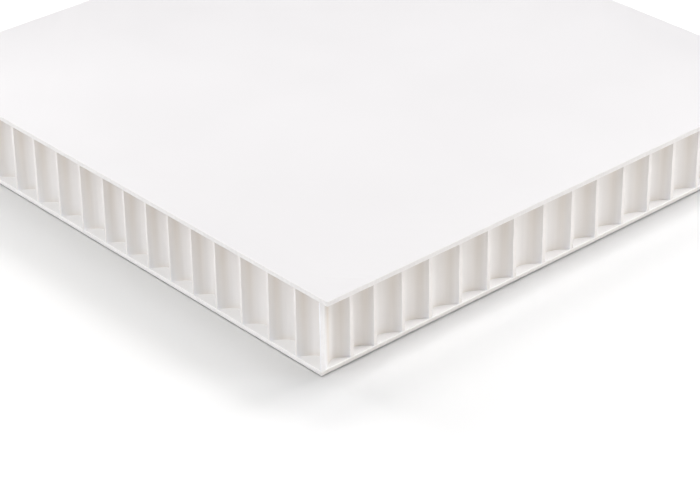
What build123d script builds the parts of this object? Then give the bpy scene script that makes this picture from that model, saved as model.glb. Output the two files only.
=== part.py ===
from build123d import *
from math import cos, floor, radians, sqrt
import os

# Polypropylene honeycomb board: a core of fused plastic tubes between two flat skins.
# Millimetres, +Z up. The board lies on its lower skin, with the origin under its middle.
# The photographed corner is at +X -Y, and all four edges are sawn through a row of tubes.

# Driving dimensions
BOARD_THICKNESS = 20.0
SKIN_THICKNESS = 1.2
TUBE_BORE = 8.3
TUBE_WALL = 0.6
TUBES_PER_EDGE = 18
TOP_SKIN_OVERHANG = 2.4

# The saw runs this far outside the centres of the tubes along the edges at -Y, +X, +Y and -X.
# At +X it leaves the half tubes shallower and their walls' cut faces wider.
SAW_OFFSETS = (0.3, 1.15, 0.3, 0.3)
# The saw cuts the tubes away over this length outside each face that it opens
SAW_RUNOUT = 5.0

# Worked-out sizes
TUBE_PITCH = TUBE_BORE + TUBE_WALL
CORE_SIDE = TUBES_PER_EDGE * TUBE_PITCH
CORE_HEIGHT = BOARD_THICKNESS - 2 * SKIN_THICKNESS
CORE_CENTRE_X = -TOP_SKIN_OVERHANG / 2
NESTED_STEP = TUBE_PITCH * cos(radians(30))
ROW_GAPS = 2 * floor(CORE_SIDE / (2 * NESTED_STEP))
ROW_STEP = CORE_SIDE / ROW_GAPS


def places_in_row(count, y):
    """Centres of a row of tubes along X, in the middle of the core."""
    first_x = -(count - 1) / 2 * TUBE_PITCH
    return [(first_x + k * TUBE_PITCH, y) for k in range(count)]


def sawn_edge(saw_offset):
    """Half tubes along the -Y edge. At each corner the last one ends at a wall on the diagonal."""
    centre_y = -CORE_SIDE / 2 - saw_offset
    places = places_in_row(TUBES_PER_EDGE, centre_y)
    tubes = Sketch() + [Pos(*place) * Circle(TUBE_BORE / 2) for place in places]
    tip_y = -TUBE_WALL / sqrt(2)
    reach = CORE_SIDE / 2 + SAW_RUNOUT
    between_diagonals = Polygon(
        (0, tip_y),
        (-reach, tip_y - reach),
        (reach, tip_y - reach),
        align=None,
    )
    return tubes & between_diagonals


def inner_tubes():
    """Tubes behind the sawn edges, pressed six-sided, each row nested into the next."""
    whole = RegularPolygon(TUBE_BORE / 2, side_count=6, major_radius=False, rotation=30)
    clear_width = CORE_SIDE - TUBE_BORE - 2 * TUBE_WALL
    end_x = (CORE_SIDE - TUBE_PITCH) / 2
    beside_edge = Pos(-end_x, 0) * Rectangle(clear_width, TUBE_PITCH * 2)
    right_end = whole & beside_edge
    cells = []
    for row in range(1, ROW_GAPS):
        y = -CORE_SIDE / 2 + row * ROW_STEP
        if row % 2:
            cells += [Pos(*place) * whole for place in places_in_row(TUBES_PER_EDGE - 1, y)]
        else:
            cells += [Pos(*place) * whole for place in places_in_row(TUBES_PER_EDGE - 2, y)]
            cells += [Pos(end_x, y) * right_end, Pos(-end_x, y) * Rot(Z=180) * right_end]
    return cells


def tube_core():
    """The block of fused tubes, open at the four edges and covered by the skins."""
    plan = Rectangle(CORE_SIDE, CORE_SIDE)
    plan -= [Rot(Z=90 * side) * sawn_edge(offset) for side, offset in enumerate(SAW_OFFSETS)]
    plan -= inner_tubes()
    return Pos(CORE_CENTRE_X, 0, SKIN_THICKNESS) * extrude(plan, amount=CORE_HEIGHT)


def skin(width, centre_x, bottom_z):
    """A flat solid sheet, as deep in Y as the core."""
    sheet = Rectangle(width, CORE_SIDE)
    return Pos(centre_x, 0, bottom_z) * extrude(sheet, amount=SKIN_THICKNESS)


pieces = {
    "bottom_skin": skin(CORE_SIDE, CORE_CENTRE_X, 0),
    "tube_core": tube_core(),
    "top_skin": skin(CORE_SIDE + TOP_SKIN_OVERHANG, 0, BOARD_THICKNESS - SKIN_THICKNESS),
}

os.makedirs("parts", exist_ok=True)
for name, shape in pieces.items():
    export_step(shape, f"parts/{name}.step")
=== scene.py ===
import math
import random
from collections import namedtuple

import bpy
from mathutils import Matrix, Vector, geometry, noise


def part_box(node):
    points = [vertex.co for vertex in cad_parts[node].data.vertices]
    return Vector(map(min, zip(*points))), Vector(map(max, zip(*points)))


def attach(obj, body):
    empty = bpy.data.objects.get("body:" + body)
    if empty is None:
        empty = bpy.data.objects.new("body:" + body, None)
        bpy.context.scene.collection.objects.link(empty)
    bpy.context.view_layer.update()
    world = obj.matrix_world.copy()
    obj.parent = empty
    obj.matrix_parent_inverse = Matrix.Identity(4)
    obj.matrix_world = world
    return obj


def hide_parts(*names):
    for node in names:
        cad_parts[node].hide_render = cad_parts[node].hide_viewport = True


# Polypropylene honeycomb board, one corner in view: two flat skins on a core of fused tubes.
# Lengths are in millimetres until they are written into a mesh or a material. Those of the lamps
# and the camera are in metres.

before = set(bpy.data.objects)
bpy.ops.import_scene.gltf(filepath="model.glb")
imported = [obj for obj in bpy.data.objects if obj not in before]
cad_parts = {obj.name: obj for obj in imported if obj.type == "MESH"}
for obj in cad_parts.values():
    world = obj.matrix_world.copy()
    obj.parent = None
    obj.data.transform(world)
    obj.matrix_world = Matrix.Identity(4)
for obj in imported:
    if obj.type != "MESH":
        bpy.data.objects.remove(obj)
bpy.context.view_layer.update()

MM = 0.001


def in_mm(box):
    """A box's lowest and highest corners, in millimetres."""
    return [[c / MM for c in corner] for corner in box]


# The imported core. Its plan is drawn about its own middle, so CENTRE_X is added in the mesh.
core_low, core_high = in_mm(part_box("tube_core"))
CORE_SIDE = core_high[1] - core_low[1]
CORE_HEIGHT = core_high[2] - core_low[2]
HALF = CORE_SIDE / 2
CENTRE_X = (core_low[0] + core_high[0]) / 2
TUBES = 18
PITCH = CORE_SIDE / TUBES
WALL = 0.6
BORE_RADIUS = (PITCH - WALL) / 2

# Walls along the two photographed edges, measured from the corner between them
FRONT_WALLS = (8.5, 17.8, 27.3, 36.3, 44.8, 53.2, 61.5, 69.9, 78.0)
RIGHT_WALLS = (9.1, 16.1, 24.6, 33.0, 42.5, 51.4, 59.8, 69.6, 79.1, 87.5)
# The other walls are spaced evenly, give or take this much
WALL_SCATTER = 0.35


# Plan of the core

def wall_shifts(seen, rng):
    """How far each wall of an edge stands from even spacing, from corner to corner."""
    places = [0.0, *seen]
    gaps_left = TUBES - len(seen)
    step = (CORE_SIDE - places[-1]) / gaps_left
    while len(places) < TUBES:
        places.append(places[-1] + step)
    places.append(CORE_SIDE)
    for k in range(len(seen) + 1, TUBES):
        places[k] += rng.uniform(-WALL_SCATTER, WALL_SCATTER)
    return [place - k * PITCH for k, place in enumerate(places)]


spacing_rng = random.Random(11)
front_shift = wall_shifts(FRONT_WALLS, spacing_rng)
right_shift = wall_shifts(RIGHT_WALLS, spacing_rng)
back_shift = wall_shifts((), spacing_rng)
left_shift = wall_shifts((), spacing_rng)


def between(shifts, place):
    """Shift at a place along an edge, in straight steps from wall to wall."""
    t = min(max(place / PITCH, 0.0), TUBES)
    k = min(int(t), TUBES - 1)
    return shifts[k] + (t - k) * (shifts[k + 1] - shifts[k])


def warp(x, y):
    """Moves a point of the even plan to where the uneven tubes have it.

    The shifts of each edge fade away towards the opposite edge.
    """
    from_right, from_left = HALF - x, HALF + x
    from_front, from_back = HALF + y, HALF - y
    near_front = (from_back / CORE_SIDE) ** 2
    near_back = (from_front / CORE_SIDE) ** 2
    near_right = (from_left / CORE_SIDE) ** 2
    near_left = (from_right / CORE_SIDE) ** 2
    dx = -between(front_shift, from_right) * near_front - between(back_shift, from_right) * near_back
    dy = between(right_shift, from_front) * near_right + between(left_shift, from_front) * near_left
    return x + dx, y + dy


# What the saw leaves of the tubes, seen from above: places between two walls' middles, as
# fractions of the way, and the depth there. The tubes are pressed together, so they aren't round.
FRONT_CUT = (
    (0.035, 0.0),
    (0.06, 0.6),
    (0.12, 1.6),
    (0.19, 2.5),
    (0.28, 3.35),
    (0.4, 4.05),
    (0.52, 4.3),
    (0.66, 4.0),
    (0.82, 2.8),
    (0.93, 1.2),
    (0.965, 0.0),
)
RIGHT_CUT = (
    (0.055, 0.0),
    (0.1, 1.4),
    (0.2, 2.6),
    (0.34, 3.1),
    (0.48, 3.0),
    (0.62, 2.5),
    (0.74, 1.85),
    (0.84, 1.15),
    (0.92, 0.45),
    (0.945, 0.0),
)
# The first tube on the right is shallow beside the corner post
CORNER_CUT = (
    (0.146, 0.0),
    (0.17, 0.3),
    (0.22, 0.7),
    (0.3, 1.15),
    (0.4, 1.8),
    (0.5, 2.4),
    (0.62, 2.6),
    (0.74, 2.0),
    (0.84, 1.2),
    (0.92, 0.45),
    (0.945, 0.0),
)
# The two edges away from the camera
HIDDEN_CUT = (
    (0.035, 0.0),
    (0.08, 1.6),
    (0.2, 3.0),
    (0.38, 3.8),
    (0.62, 3.8),
    (0.8, 3.0),
    (0.92, 1.6),
    (0.965, 0.0),
)
CURVE_STEPS = 3

# Each half tube is wider and deeper, or less so, by up to these shares
WIDTH_SCATTER = 0.015
DEPTH_SCATTER = 0.04

# Width of the broken edge between a wall's sawn front and a bore
LIP = 0.05
# The points of an edge start and end this far from the core's corners
CORNER_MARGIN = 0.1
# From a corner to the side of the wall on its diagonal, measured along the edge
DIAGONAL = WALL / math.sqrt(2)
DIAGONAL_STEPS = 8

# The four sawn edges, each with where it starts, its direction, the direction inward, and its cut
Side = namedtuple("Side", "name start along inward cut")
SIDES = (
    Side("front", (-HALF, -HALF), (1, 0), (0, 1), FRONT_CUT),
    Side("right", (HALF, -HALF), (0, 1), (-1, 0), RIGHT_CUT),
    Side("back", (HALF, HALF), (-1, 0), (0, -1), HIDDEN_CUT),
    Side("left", (-HALF, HALF), (0, -1), (1, 0), HIDDEN_CUT),
)

# A point of the outline lies on a wall's sawn front ("cut") or in a half tube ("bore")
OutlinePoint = namedtuple("OutlinePoint", "x y side kind depth")


def curve_through(points):
    """A smooth curve through the points, with a few steps from each to the next."""
    curve = []
    for i in range(len(points) - 1):
        before, start = points[max(i - 1, 0)], points[i]
        end, after = points[i + 1], points[min(i + 2, len(points) - 1)]
        for step in range(CURVE_STEPS):
            t = step / CURVE_STEPS
            curve.append(tuple(
                0.5 * (2 * p1 + (p2 - p0) * t + (2 * p0 - 5 * p1 + 4 * p2 - p3) * t * t
                       + (3 * p1 - p0 - 3 * p2 + p3) * t ** 3)
                for p0, p1, p2, p3 in zip(before, start, end, after)
            ))
    return [*curve, points[-1]]


def clip_at_diagonal(points):
    """Ends a corner tube at the wall on the corner's diagonal, in place of its first quarter."""
    kept = [p for p in points if p[1] <= p[0] - DIAGONAL and p[0] > PITCH / 4]
    first_place, first_depth = kept[0]
    meet = (first_place + first_depth + DIAGONAL) / 2
    run = [DIAGONAL + (meet - DIAGONAL) * i / DIAGONAL_STEPS for i in range(DIAGONAL_STEPS + 1)]
    return [(place, place - DIAGONAL) for place in run] + kept


def from_far_end(points):
    """Points along an edge, measured from its other end."""
    return [(CORE_SIDE - place, depth) for place, depth in reversed(points)]


def half_tube(k, cut, rng):
    """Sawn tube k of an edge as (place, depth) points, from one wall's front to the next."""
    wider = 1 + rng.uniform(-WIDTH_SCATTER, WIDTH_SCATTER)
    deeper = 1 + rng.uniform(-DEPTH_SCATTER, DEPTH_SCATTER)
    points = []
    for share, depth in curve_through(cut):
        points.append(((k + 0.5 + (share - 0.5) * wider) * PITCH, max(depth, 0.0) * deeper))
    if k == 0 and cut is not CORNER_CUT:
        points = clip_at_diagonal(points)
    if k == TUBES - 1:
        points = from_far_end(clip_at_diagonal(from_far_end(points)))
    start, end = points[0][0], points[-1][0]
    points[0] = (start, LIP)
    points[-1] = (end, LIP)
    return [(start - LIP, 0.0), *points, (end + LIP, 0.0)]


def edge_points(side, rng):
    """One sawn edge as (place, depth, kind) points, from corner to corner."""
    points = [(CORNER_MARGIN, 0.0, "cut")]
    for k in range(TUBES):
        beside_post = k == 0 and side.name == "right"
        tube = half_tube(k, CORNER_CUT if beside_post else side.cut, rng)
        points.append((*tube[0], "cut"))
        points += [(*p, "bore") for p in tube[1:-1]]
        points.append((*tube[-1], "cut"))
        if k < TUBES - 1:
            points.append(((k + 1) * PITCH, 0.0, "cut"))
    points.append((CORE_SIDE - CORNER_MARGIN, 0.0, "cut"))
    return points


def outer_loop(rng):
    """The core's whole outline."""
    loop = []
    for side in SIDES:
        for place, depth, kind in edge_points(side, rng):
            x = side.start[0] + side.along[0] * place + side.inward[0] * depth
            y = side.start[1] + side.along[1] * place + side.inward[1] * depth
            loop.append(OutlinePoint(*warp(x, y), side, kind, depth))
    return loop


# Rows of closed tubes from the front edge to the back, nested as closely as whole rows allow
ROW_GAPS = 2 * math.floor(HALF / (PITCH * math.cos(math.radians(30))))
ROW_STEP = CORE_SIDE / ROW_GAPS

# Points of a closed tube, in degrees from each of its six corners, which are left blunt
BESIDE_CORNER = (-21.6, -12.0, 12.0, 21.6)
# A closed tube may be turned by this much, in radians
TURN_SCATTER = 0.05


def pressed_tube(x, y, rng):
    """A closed tube, pressed six-sided by its neighbours."""
    points = []
    turn = rng.uniform(-TURN_SCATTER, TURN_SCATTER)
    for corner in range(30, 360, 60):
        for offset in BESIDE_CORNER:
            angle = math.radians(corner + offset) + turn
            radius = BORE_RADIUS / math.cos(math.radians(30 - abs(offset)))
            points.append((x + radius * math.cos(angle), y + radius * math.sin(angle)))
    return points


def keep_inside(points, limit):
    """Cuts a loop off where its x passes the limit."""
    kept = []
    for (ax, ay), (bx, by) in zip(points, points[1:] + points[:1]):
        if ax <= limit:
            kept.append((ax, ay))
        if (ax <= limit) != (bx <= limit):
            t = (limit - ax) / (bx - ax)
            kept.append((limit, ay + t * (by - ay)))
    return kept


def inner_loops(rng):
    """The closed tubes behind the sawn edges, each row nested into the next."""
    end_limit = HALF - BORE_RADIUS - WALL
    loops = []
    for row in range(1, ROW_GAPS):
        y = -HALF + row * ROW_STEP
        count = TUBES - 1 if row % 2 else TUBES
        for k in range(count):
            x = (k - (count - 1) / 2) * PITCH
            loop = pressed_tube(x, y, rng)
            if x + BORE_RADIUS > end_limit:
                loop = keep_inside(loop, end_limit)
            if x - BORE_RADIUS < -end_limit:
                mirrored = keep_inside([(-px, py) for px, py in loop], end_limit)
                loop = [(-px, py) for px, py in mirrored]
            loops.append([warp(*p) for p in loop])
    return loops


# Meshes

# Material slots of each piece: its plain surface and its sawn one
PLAIN, SAWN = 0, 1
# Edges that turn by less than this stay smooth
SMOOTH_ANGLE = math.radians(32)
# Red changes with a tone's warmth by this share of what blue does
RED_SHARE = 0.7
# Settings of the plan's triangulation: the kind that fills the outline, and how close points merge
FILL_OUTLINE = 1
MERGE_DISTANCE = 1e-7


def painted_tone_colour(tone, warmth):
    """What a tone of painted light and shade multiplies a colour by. Darker tones are warmer, as
    painted shade is, with more warmth more so.
    """
    return (tone ** (1.0 - RED_SHARE * warmth), tone, tone ** (1.0 + warmth), 1.0)


def new_piece(name, verts, faces, materials, slots, tones, warmth):
    """A mesh object from millimetre points, each with its tone of painted light and shade, smooth over
    its gentle edges.
    """
    mesh = bpy.data.meshes.new(name)
    mesh.from_pydata([(x * MM, y * MM, z * MM) for x, y, z in verts], [], faces)
    for material in materials:
        mesh.materials.append(material)
    mesh.polygons.foreach_set("material_index", slots)
    colours = mesh.attributes.new("tone", "FLOAT_COLOR", "POINT")
    for item, tone in zip(colours.data, tones):
        item.color = painted_tone_colour(tone, warmth)
    mesh.validate()
    mesh.polygons.foreach_set("use_smooth", [True] * len(mesh.polygons))
    mesh.set_sharp_from_angle(angle=SMOOTH_ANGLE)
    piece = bpy.data.objects.new(name, mesh)
    bpy.context.collection.objects.link(piece)
    return piece


def ring_faces(rings, count):
    """The faces that join each ring of points to the next, with this many points in a ring."""
    faces = []
    for ring in range(rings - 1):
        for i in range(count):
            a = ring * count + i
            b = ring * count + (i + 1) % count
            faces.append((a, b, b + count, a + count))
    return faces


def fill(loops):
    """Triangles between an outer loop and the loops inside it."""
    points = []
    edges = []
    loop_of = []
    for number, loop in enumerate(loops):
        first = len(points)
        points += [Vector(p[:2]) for p in loop]
        edges += [(first + i, first + (i + 1) % len(loop)) for i in range(len(loop))]
        loop_of += [number] * len(loop)
    made = geometry.delaunay_2d_cdt(points, edges, [], FILL_OUTLINE, MERGE_DISTANCE)
    made_points, _, made_faces, origins = made[:4]
    if len(made_points) != len(points):
        raise RuntimeError("the plan's loops cross")
    triangles = []
    for face in made_faces:
        a, b, c = (origins[i][0] for i in face)
        inside_a_tube = loop_of[a] == loop_of[b] == loop_of[c] > 0
        if not inside_a_tube:
            triangles.append((a, b, c))
    return triangles


def ragged(x, y, z, scale, seed):
    """A smooth pseudo-random number between about -1 and 1."""
    return noise.noise(Vector((x * scale + seed, y * scale - seed, z * scale)))


# Distances from a skin at which the core's outline is repeated, and the steps in between
NEAR_SKIN = (0.0, 0.12, 0.35, 0.8, 1.5)
MIDDLE_STEPS = 12

# How far the sawn walls wander sideways, and how far behind the cut that still counts
WANDER = 0.1
WANDER_REACH = 0.6
# How far the saw sinks into a wall's front on average, which varies from nothing to twice as far
SAW_BITE = 0.05
# How uneven the inside of a half tube is
BORE_WAVE = 0.03
# Plastic piled up where a wall meets a skin, its height, and the depth at which it is full
BEAD = 0.07
BEAD_HEIGHT = 0.3
BEAD_DEPTH = 0.5


def core_levels():
    """Heights at which the core's outline is repeated, closer together beside the skins."""
    low, high, near = core_low[2], core_high[2], NEAR_SKIN[-1]
    span = high - low - 2 * near
    middle = [low + near + span * i / MIDDLE_STEPS for i in range(1, MIDDLE_STEPS)]
    return [low + d for d in NEAR_SKIN] + middle + [high - d for d in reversed(NEAR_SKIN)]


def core_point(point, z):
    """A point of the outline at a height, with the unevenness of sawn and fused plastic."""
    x, y, side, kind, depth = point
    slide = WANDER * math.exp(-depth / WANDER_REACH) * ragged(x, y, z, scale=0.45, seed=3.0)
    if kind == "cut":
        sink = SAW_BITE + SAW_BITE * ragged(x, y, z, scale=0.8, seed=9.0)
    else:
        to_skin = min(z - core_low[2], core_high[2] - z)
        bead = BEAD * math.exp(-to_skin / BEAD_HEIGHT) * min(1.0, depth / BEAD_DEPTH)
        sink = BORE_WAVE * ragged(x, y, z, scale=0.35, seed=17.0) - bead
    x += side.along[0] * slide + side.inward[0] * sink
    y += side.along[1] * slide + side.inward[1] * sink
    return (x + CENTRE_X, y, z)


# Tones multiply a surface's colour, as painted light and shade. Those of the half tubes change with the
# depth behind the cut and from the lower skin up to the top one.
# Painted light stands in for light through the plastic: the half tubes are lighter low down, and
# lightest just behind the walls' thin fronts.
# The painted low light changes nothing at this share of the way down.
PAINTED_LOW_LIGHT = 0.03
UNCHANGED_AT = 0.35
PAINTED_GLOW_BEHIND_CUT = 0.1
PAINTED_GLOW_REACH = 1.2
# Painted shade: the walls are darkest a little way in, above all high up
BAND_DEPTH = 1.6
BAND_WIDTH = 0.7
BAND_HIGH_UP = 0.09
BAND_LOW_DOWN = 0.02
# Painted light: the backs of the tubes are lighter again
PAINTED_BACK_LIGHT = 0.03
BACK_DEPTH = 2.2
# Just above the lower skin, painted shade darkens the backs and painted light lightens the fronts
PAINTED_FOOT_SHADE = 0.1
FOOT_HEIGHT = 0.9
FOOT_DEPTH = 1.4
FOOT_WIDTH = 1.2
FOOT_AT_FRONT = -0.6
# Painted shade: the tubes of the front edge are darker high up
PAINTED_FRONT_EDGE_SHADE = 0.022
# Painted light: the first tube on the right is lighter up to this far from the corner, with a band of
# painted shade
BESIDE_POST = 0.6 * PITCH
BESIDE_POST_PAINTED_LIGHT = 0.02
BESIDE_POST_PAINTED_SHADE = 0.09
BESIDE_POST_BAND_WIDTH = 0.6
# Painted light: the corner post's fronts, all of them this near the corner, are lighter than the other
# walls'
POST = 2.5
POST_PAINTED_LIGHT = {"front": 1.12, "right": 1.07}


def peak(value, middle, width):
    """1 at the middle, falling to 0 over about twice the width on both sides."""
    return math.exp(-((value - middle) / width) ** 2)


def bore_painted_light(point, height):
    """Painted light and shade of a half tube at a point of the outline and a height from 0 to 1."""
    depth = point.depth
    low = 1.0 - height
    light = PAINTED_LOW_LIGHT * (low - UNCHANGED_AT) + PAINTED_GLOW_BEHIND_CUT * low * math.exp(-depth / PAINTED_GLOW_REACH)
    light += PAINTED_BACK_LIGHT * min(1.0, max(0.0, depth - BACK_DEPTH))
    band = BAND_HIGH_UP + (BAND_LOW_DOWN - BAND_HIGH_UP) * low
    light -= band * peak(depth, BAND_DEPTH, BAND_WIDTH)
    foot = PAINTED_FOOT_SHADE * math.exp(-height * CORE_HEIGHT / FOOT_HEIGHT)
    light -= foot * min(1.0, max(FOOT_AT_FRONT, (depth - FOOT_DEPTH) / FOOT_WIDTH))
    if point.side.name == "front":
        light -= PAINTED_FRONT_EDGE_SHADE * height
    if point.side.name == "right" and point.y < -HALF + BESIDE_POST:
        light += BESIDE_POST_PAINTED_LIGHT
        light -= BESIDE_POST_PAINTED_SHADE * peak(depth, BAND_DEPTH, BESIDE_POST_BAND_WIDTH)
    return 1.0 + light


def core_painted_light(point, height):
    """Painted light and shade of the core at a point of the outline and a height from 0 to 1."""
    if point.kind == "bore":
        return bore_painted_light(point, height)
    if point.x > HALF - POST and point.y < -HALF + POST:
        return POST_PAINTED_LIGHT[point.side.name]
    return 1.0


def tube_faces(holes, first):
    """The insides of the closed tubes, whose low points start at first and precede the high ones."""
    to_high = sum(len(loop) for loop in holes)
    faces = []
    for loop in holes:
        for i in range(len(loop)):
            a = first + i
            b = first + (i + 1) % len(loop)
            faces.append((b, a, a + to_high, b + to_high))
        first += len(loop)
    return faces


def core_piece(bore_look, wall_look):
    """The core, with open half tubes along its edges, closed tubes inside, and both ends capped."""
    rng = random.Random(23)
    outline = outer_loop(rng)
    holes = inner_loops(rng)
    levels = core_levels()
    verts = []
    tones = []
    for z in levels:
        for point in outline:
            verts.append(core_point(point, z))
            tones.append(core_painted_light(point, (z - core_low[2]) / CORE_HEIGHT))
    low_holes = len(verts)
    for z in (core_low[2], core_high[2]):
        for loop in holes:
            verts += [(x + CENTRE_X, y, z) for x, y in loop]
    high_holes = (low_holes + len(verts)) // 2
    tones += [1.0] * (len(verts) - low_holes)

    count = len(outline)
    faces = ring_faces(len(levels), count)
    sawn = [here.kind == after.kind == "cut" for here, after in zip(outline, outline[1:] + outline[:1])]
    slots = [SAWN if is_sawn else PLAIN for is_sawn in sawn] * (len(levels) - 1)
    faces += tube_faces(holes, low_holes)
    low_end = [*range(count), *range(low_holes, high_holes)]
    high_end = [*range(low_holes - count, low_holes), *range(high_holes, len(verts))]
    for a, b, c in fill([outline, *holes]):
        faces.append((low_end[c], low_end[b], low_end[a]))
        faces.append((high_end[a], high_end[b], high_end[c]))
    slots += [PLAIN] * (len(faces) - len(slots))
    return new_piece("honeycomb_core", verts, faces, [bore_look, wall_look], slots, tones, warmth=0.45)


# A skin's sawn rim: the width of its broken edges, how far in their middle lies, the heights of the
# rings between them, and the distance between points along it
ARRIS = 0.09
ARRIS_MIDDLE = 0.03
RIM_RINGS = (0.38, 0.7)
RIM_STEP = 0.9
# How far the saw sinks into a rim on average, which varies as much
RIM_BITE = 0.03
# Painted light on the top skin's rim: its tones low down and high up, lighter low down
TOP_RIM_PAINTED_LIGHT = (1.03, 0.99)
# The bottom skin's rim on the right has painted shade up to this share of its height
PAINTED_RIM_SHADE = 0.83
PAINTED_SHADE_SHARE = 0.7


def rim_painted_light(node, height, on_right):
    """Painted light and shade of a skin's sawn rim at a height from 0 to 1."""
    if node == "top_skin":
        low_tone, high_tone = TOP_RIM_PAINTED_LIGHT
        return low_tone + (high_tone - low_tone) * height
    if on_right and height < PAINTED_SHADE_SHARE:
        return PAINTED_RIM_SHADE
    return 1.0


def rim_points(x0, y0, x1, y1):
    """Evenly spaced points around a rectangle, anticlockwise from its low corner."""
    corners = ((x0, y0), (x1, y0), (x1, y1), (x0, y1))
    points = []
    for (ax, ay), (bx, by) in zip(corners, corners[1:] + corners[:1]):
        steps = round(math.dist((ax, ay), (bx, by)) / RIM_STEP)
        points += [(ax + (bx - ax) * i / steps, ay + (by - ay) * i / steps) for i in range(steps)]
    return points


def skin_piece(name, node, materials, seed):
    """A flat sheet with sawn edges and arrises that are hardly broken."""
    (x0, y0, z0), (x1, y1, z1) = in_mm(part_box(node))
    profile = (
        (ARRIS, z0),
        (ARRIS_MIDDLE, z0 + ARRIS_MIDDLE),
        (0.0, z0 + ARRIS),
        *((0.0, z0 + height) for height in RIM_RINGS),
        (0.0, z1 - ARRIS),
        (ARRIS_MIDDLE, z1 - ARRIS_MIDDLE),
        (ARRIS, z1),
    )
    mid_x, mid_y = (x0 + x1) / 2, (y0 + y1) / 2
    half_x, half_y = (x1 - x0) / 2, (y1 - y0) / 2
    rim = rim_points(x0, y0, x1, y1)
    verts = []
    tones = []
    for inset, z in profile:
        for x, y in rim:
            bite = inset + RIM_BITE + RIM_BITE * ragged(x, y, z, scale=0.5, seed=seed)
            if z in (z0, z1):
                bite += RIM_BITE * ragged(x, y, z, scale=1.3, seed=seed + 5)
            shrink_x = (half_x - bite) / half_x
            shrink_y = (half_y - bite) / half_y
            verts.append((mid_x + (x - mid_x) * shrink_x, mid_y + (y - mid_y) * shrink_y, z))
            tones.append(rim_painted_light(node, (z - z0) / (z1 - z0), on_right=x == x1))

    count = len(rim)
    faces = ring_faces(len(profile), count)
    slots = [SAWN] * len(faces)
    for a, b, c in fill([verts[:count]]):
        faces.append((c, b, a))
    top = len(verts) - count
    for a, b, c in fill([verts[top:]]):
        faces.append((top + a, top + b, top + c))
    slots += [PLAIN] * (len(faces) - len(slots))
    return new_piece(name, verts, faces, materials, slots, tones, warmth=0.1)


# Materials

# How strongly polypropylene bends light
PLASTIC_IOR = 1.49
# Noise lies mostly between these, so a colour runs from its low tone to its high one there
NOISE_SPAN = (0.3, 0.7)


def plastic(name, colour, roughness):
    """A principled plastic, with the links that its detail needs."""
    material = bpy.data.materials.new(name)
    material.use_nodes = True
    shader = material.node_tree.nodes["Principled BSDF"]
    shader.inputs["Base Color"].default_value = (*colour, 1.0)
    shader.inputs["Roughness"].default_value = roughness
    shader.inputs["IOR"].default_value = PLASTIC_IOR
    return material, material.node_tree, shader


def noise_node(tree, scale, stretch=(1.0, 1.0, 1.0), detail=3.0):
    """Noise over the object's own coordinates, stretched along an axis where asked."""
    place = tree.nodes.new("ShaderNodeTexCoord")
    mapping = tree.nodes.new("ShaderNodeMapping")
    mapping.inputs["Scale"].default_value = stretch
    texture = tree.nodes.new("ShaderNodeTexNoise")
    texture.inputs["Scale"].default_value = scale
    texture.inputs["Detail"].default_value = detail
    tree.links.new(place.outputs["Object"], mapping.inputs["Vector"])
    tree.links.new(mapping.outputs["Vector"], texture.inputs["Vector"])
    return texture.outputs["Fac"]


def tint(tree, shader, factor, low, high, toned=False):
    """Base colour that runs between two colours with the factor, times the mesh's painted light and
    shade if asked.
    """
    ramp = tree.nodes.new("ShaderNodeValToRGB")
    for stop, position, colour in zip(ramp.color_ramp.elements, NOISE_SPAN, (low, high)):
        stop.position = position
        stop.color = (*colour, 1.0)
    tree.links.new(factor, ramp.inputs["Fac"])
    colour = ramp.outputs["Color"]
    if toned:
        own = tree.nodes.new("ShaderNodeAttribute")
        own.attribute_name = "tone"
        product = tree.nodes.new("ShaderNodeVectorMath")
        product.operation = "MULTIPLY"
        tree.links.new(colour, product.inputs[0])
        tree.links.new(own.outputs["Color"], product.inputs[1])
        colour = product.outputs["Vector"]
    tree.links.new(colour, shader.inputs["Base Color"])


def lighten_along_x(material, start, end, gain):
    """Paints light onto a material's colour, from one X, in millimetres, to another."""
    tree = material.node_tree
    base = tree.nodes["Principled BSDF"].inputs["Base Color"]
    place = tree.nodes.new("ShaderNodeTexCoord")
    axes = tree.nodes.new("ShaderNodeSeparateXYZ")
    ramp = tree.nodes.new("ShaderNodeMapRange")
    ramp.inputs["From Min"].default_value = start * MM
    ramp.inputs["From Max"].default_value = end * MM
    ramp.inputs["To Min"].default_value = 1.0
    ramp.inputs["To Max"].default_value = gain
    scaled = tree.nodes.new("ShaderNodeVectorMath")
    scaled.operation = "SCALE"
    tree.links.new(place.outputs["Object"], axes.inputs["Vector"])
    tree.links.new(axes.outputs["X"], ramp.inputs["Value"])
    tree.links.new(base.links[0].from_socket, scaled.inputs[0])
    tree.links.new(ramp.outputs["Result"], scaled.inputs["Scale"])
    tree.links.new(scaled.outputs["Vector"], base)


def vary_roughness(tree, shader, factor, low, high):
    """Roughness that runs from low to high with the factor."""
    span = tree.nodes.new("ShaderNodeMapRange")
    span.inputs["To Min"].default_value = low
    span.inputs["To Max"].default_value = high
    tree.links.new(factor, span.inputs["Value"])
    tree.links.new(span.outputs["Result"], shader.inputs["Roughness"])


def bump(tree, shader, height, distance, strength):
    """Unevenness too fine for the mesh, of a distance in millimetres."""
    node = tree.nodes.new("ShaderNodeBump")
    node.inputs["Distance"].default_value = distance * MM
    node.inputs["Strength"].default_value = strength
    tree.links.new(height, node.inputs["Height"])
    tree.links.new(node.outputs["Normal"], shader.inputs["Normal"])


def skin_material(name, low, high):
    """A sheet's flat face: satin, faintly clouded and very slightly uneven."""
    material, tree, shader = plastic(name, high, roughness=0.45)
    tint(tree, shader, noise_node(tree, scale=18.0), low, high)
    vary_roughness(tree, shader, noise_node(tree, scale=60.0), low=0.38, high=0.52)
    bump(tree, shader, noise_node(tree, scale=900.0, detail=2.0), distance=0.02, strength=0.3)
    return material


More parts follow.
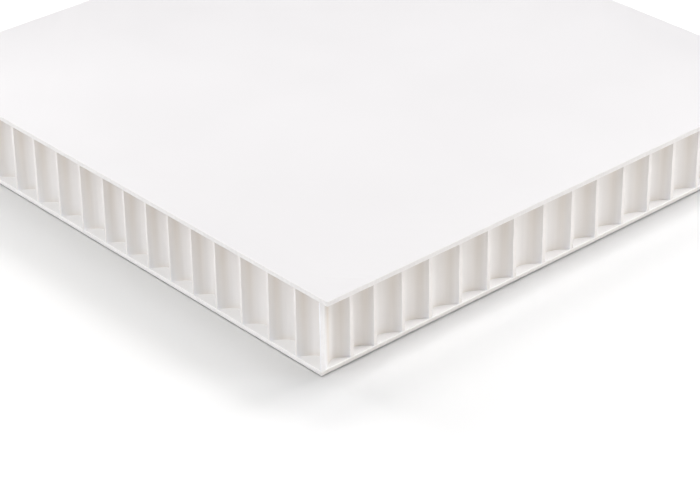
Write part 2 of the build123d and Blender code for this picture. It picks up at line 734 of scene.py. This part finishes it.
def bore_material():
    """The inside of the tubes, with the faint upright streaks of drawn plastic, times the painted light
    and shade of the mesh.
    """
    material, tree, shader = plastic("core_bore", (0.86, 0.85, 0.84), roughness=0.5)
    streaks = noise_node(tree, scale=900.0, stretch=(1.0, 1.0, 0.03), detail=4.0)
    tint(tree, shader, streaks, low=(0.795, 0.767, 0.743), high=(0.837, 0.807, 0.782), toned=True)
    vary_roughness(tree, shader, noise_node(tree, scale=200.0), low=0.4, high=0.6)
    bump(tree, shader, streaks, distance=0.04, strength=0.4)
    return material


def sawn_material(name, low, high):
    """A face that the saw has left a little rough, times the painted light and shade of the mesh."""
    material, tree, shader = plastic(name, high, roughness=0.6)
    grain = noise_node(tree, scale=2500.0, stretch=(1.0, 1.0, 0.3), detail=4.0)
    tint(tree, shader, grain, low, high, toned=True)
    bump(tree, shader, grain, distance=0.05, strength=0.6)
    return material


# The board

wall_look = sawn_material("core_cut", low=(0.824, 0.797, 0.78), high=(0.872, 0.843, 0.826))
rim_look = sawn_material("skin_cut", low=(0.882, 0.866, 0.856), high=(0.933, 0.916, 0.905))
outer_look = skin_material("skin_plastic", low=(0.8, 0.785, 0.792), high=(0.82, 0.805, 0.812))
# The lower skin's inner face is darker than the outer one, as painted shade inside the half tubes
inner_look = skin_material("skin_inner_face_painted_shade", low=(0.735, 0.722, 0.715), high=(0.755, 0.741, 0.735))

# Painted light: the lower skin is lighter in the shallow half tubes on the right
core_right = HALF + CENTRE_X
lighten_along_x(inner_look, start=core_right - 5.0, end=core_right - 2.0, gain=1.06)

core = core_piece(bore_material(), wall_look)
top = skin_piece("top_skin_sheet", "top_skin", [outer_look, rim_look], seed=31.0)
bottom = skin_piece("bottom_skin_sheet", "bottom_skin", [inner_look, rim_look], seed=47.0)

for piece, node, slot in (
    (core, "tube_core", "core"),
    (top, "top_skin", "skin"),
    (bottom, "bottom_skin", "skin"),
):
    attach(piece, "root")
    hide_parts(node)


# Floor, light and camera

# The board isn't quite flat, so this much air shows as a dark line under its edges
FLOOR_GAP = 0.24
FLOOR_REACH = 3000.0


def floor_piece():
    """A wide matt floor without any shine."""
    reach, z = FLOOR_REACH * MM, -FLOOR_GAP * MM
    corners = [(-reach, -reach, z), (reach, -reach, z), (reach, reach, z), (-reach, reach, z)]
    mesh = bpy.data.meshes.new("floor")
    mesh.from_pydata(corners, [], [(0, 1, 2, 3)])
    material, tree, shader = plastic("studio_floor", (0.9, 0.9, 0.9), roughness=0.8)
    shader.inputs["Specular IOR Level"].default_value = 0.0
    mesh.materials.append(material)
    piece = bpy.data.objects.new("floor", mesh)
    bpy.context.collection.objects.link(piece)
    return piece


ground = floor_piece()


# The lamps stand around a point near the photographed corner, in metres
AIM = Vector((0.06, -0.06, 0.0))
LAMP_DISTANCE = 1.2
LAMP_SIZE = 0.5


def soft_box(name, turn, height, power, colour):
    """A square area light, placed by its angle around the board and its angle above the floor."""
    turn, height = math.radians(turn), math.radians(height)
    level = math.cos(height)
    away = Vector((level * math.cos(turn), level * math.sin(turn), math.sin(height)))
    light = bpy.data.lights.new(name, "AREA")
    light.shape = "SQUARE"
    light.size = LAMP_SIZE
    light.energy = power
    light.color = colour
    lamp = bpy.data.objects.new(name, light)
    lamp.location = AIM + LAMP_DISTANCE * away
    lamp.rotation_euler = (-away).to_track_quat("-Z", "Y").to_euler()
    bpy.context.collection.objects.link(lamp)
    return lamp


def only_for(pieces, name):
    """A collection that a lamp's light can be kept to."""
    group = bpy.data.collections.new(name)
    for piece in pieces:
        group.objects.link(piece)
    return group


sawn_parts = only_for((core, bottom), "sawn_parts")
whole_board = only_for((core, bottom, top), "whole_board")
floor_only = only_for((ground,), "floor_only")

# Lamps as name, turn and height in degrees, power in watts, colour, and what they light, with None
# for everything. Those for the board or its sawn parts stand in for the light that a white room
# throws back, and the one for the floor evens out its tone away from the board.
LAMPS = (
    ("key", 90, 40, 5.9, (1.0, 0.99, 1.0), None),
    ("overhead", 270, 76, 4.2, (0.99, 1.0, 0.98), None),
    ("overhead_back", 90, 76, 3.3, (0.99, 0.99, 1.0), None),
    ("back_left", 180, 22, 6.7, (1.0, 0.99, 0.99), None),
    ("back_right", 45, 22, 3.3, (0.96, 0.98, 1.0), None),
    ("front_low", 270, 8, 3.3, (1.0, 0.97, 1.0), None),
    ("fill_right", 0, 8, 2.8, (1.0, 0.92, 0.85), whole_board),
    ("fill_left", 250, 45, 3.2, (0.98, 0.99, 1.0), whole_board),
    ("fill_cells_back", 55, 45, 7.0, (0.98, 0.99, 1.0), sawn_parts),
    ("fill_cells_front", 300, 45, 2.0, (1.0, 1.0, 0.97), sawn_parts),
    ("fill_cells_left", 250, 25, 1.0, (0.79, 0.92, 1.0), sawn_parts),
    ("floor_back", 135, 40, 5.7, (1.0, 0.98, 0.96), floor_only),
)
for name, turn, height, power, colour, receivers in LAMPS:
    lamp = soft_box(name, turn, height, power, colour)
    if receivers:
        lamp.light_linking.receiver_collection = receivers

# The lamps give all the light, so the world gives none
world = bpy.data.worlds.new("studio")
world.use_nodes = True
world.node_tree.nodes["Background"].inputs["Strength"].default_value = 0.0
bpy.context.scene.world = world
bpy.context.scene.view_settings.view_transform = "Standard"

# The camera's place in metres, its turn in degrees and its length in the photo's pixels, all
# fitted to the photo's edges and walls
CAMERA_PLACE = (0.42898, -0.38097, 0.29711)
CAMERA_TURN = (60.113, 0.735, 48.076)
FOCAL_LENGTH_PX = 2500
PHOTO_WIDTH_PX = 700
SENSOR_WIDTH = 36.0

lens = bpy.data.cameras.new("camera")
lens.sensor_width = SENSOR_WIDTH
lens.lens = FOCAL_LENGTH_PX * SENSOR_WIDTH / PHOTO_WIDTH_PX
camera = bpy.data.objects.new("camera", lens)
camera.location = CAMERA_PLACE
camera.rotation_euler = [math.radians(angle) for angle in CAMERA_TURN]
bpy.context.collection.objects.link(camera)
bpy.context.scene.camera = camera
